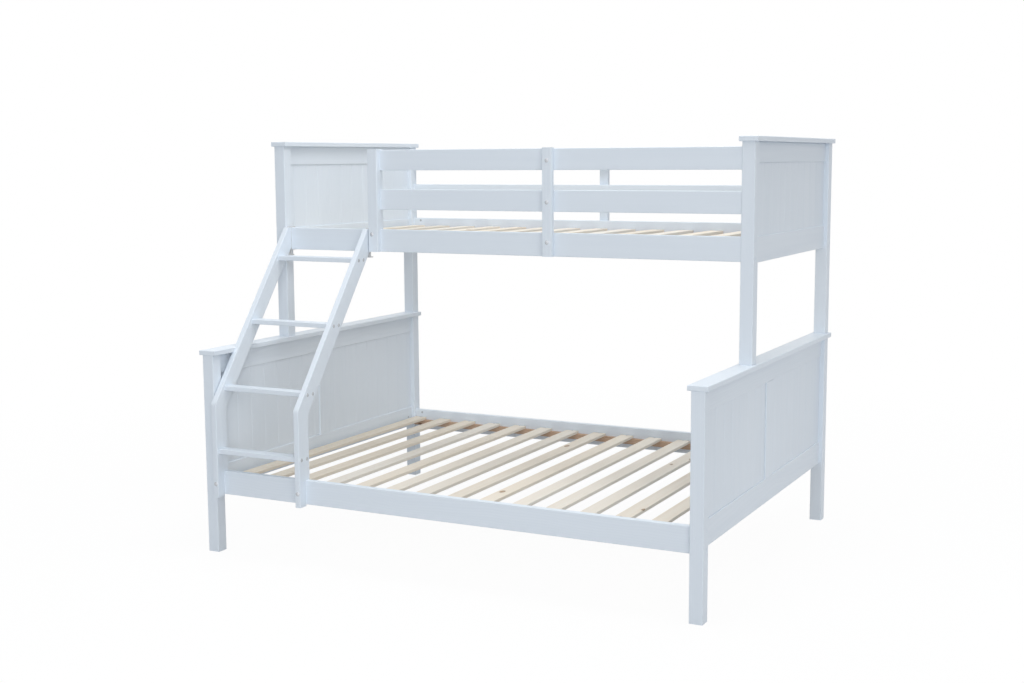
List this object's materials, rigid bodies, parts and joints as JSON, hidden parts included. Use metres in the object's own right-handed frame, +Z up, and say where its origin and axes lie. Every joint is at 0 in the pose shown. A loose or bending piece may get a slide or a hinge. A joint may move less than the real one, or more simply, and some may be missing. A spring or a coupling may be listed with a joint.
{
  "type": "bunk bed",
  "caption": "Bunk bed with a narrow upper bed over a wide lower bed, guard rails, panelled ends, slatted bases and a leaning ladder hooked on at one end.",
  "frame": {"origin": "on the floor, under the middle of the whole bed's bounding box", "axes": "+X along the bed from the ladder end to the other end, +Y from the ladder side to the rear side, +Z up"},
  "size_m": [2.004, 1.5456, 1.55],
  "materials": {
    "painted_pine": "satin white paint on pine, faint grain showing through",
    "slat_pine": "bare sanded pale pine",
    "ledger_pine": "bare pine, warmer and darker",
    "zinc_steel": "zinc plated steel"
  },
  "bodies": {
    "root": {"lower_front_left_post": "painted_pine", "lower_front_right_post": "painted_pine", "lower_rear_left_post": "painted_pine", "lower_rear_right_post": "painted_pine", "lower_left_cap": "painted_pine", "lower_right_cap": "painted_pine", "lower_left_top_rail": "painted_pine", "lower_right_top_rail": "painted_pine", "lower_left_bottom_rail": "painted_pine", "lower_right_bottom_rail": "painted_pine", "lower_left_muntin": "painted_pine", "lower_right_muntin": "painted_pine", "lower_left_front_panel": "painted_pine", "lower_left_rear_panel": "painted_pine", "lower_right_front_panel": "painted_pine", "lower_right_rear_panel": "painted_pine", "lower_front_side_rail": "painted_pine", "lower_rear_side_rail": "painted_pine", "lower_front_ledger": "ledger_pine", "lower_rear_ledger": "ledger_pine", "lower_slats": "slat_pine", "upper_front_left_post": "painted_pine", "upper_front_right_post": "painted_pine", "upper_rear_left_post": "painted_pine", "upper_rear_right_post": "painted_pine", "upper_left_cap": "painted_pine", "upper_right_cap": "painted_pine", "upper_left_top_rail": "painted_pine", "upper_right_top_rail": "painted_pine", "upper_left_bottom_rail": "painted_pine", "upper_right_bottom_rail": "painted_pine", "upper_left_panel": "painted_pine", "upper_right_panel": "painted_pine", "upper_front_side_rail": "painted_pine", "upper_rear_side_rail": "painted_pine", "upper_front_ledger": "ledger_pine", "upper_rear_ledger": "ledger_pine", "upper_slats": "slat_pine", "front_upper_guard_rail": "painted_pine", "front_lower_guard_rail": "painted_pine", "rear_upper_guard_rail": "painted_pine", "rear_lower_guard_rail": "painted_pine", "front_guard_end_post": "painted_pine", "front_guard_mid_post": "painted_pine", "rear_guard_mid_post": "painted_pine", "ladder_left_stile": "painted_pine", "ladder_right_stile": "painted_pine", "ladder_tread_1": "painted_pine", "ladder_tread_2": "painted_pine", "ladder_tread_3": "painted_pine", "ladder_tread_4": "painted_pine", "ladder_brackets": "zinc_steel", "frame_bolts": "zinc_steel", "barrel_nuts": "zinc_steel", "bolt_plugs": "painted_pine", "guard_bolts": "zinc_steel", "ladder_bolts": "zinc_steel", "frame_dowels": "slat_pine", "stacking_pins": "zinc_steel", "wood_screws": "zinc_steel"}
  },
  "joints": []
}
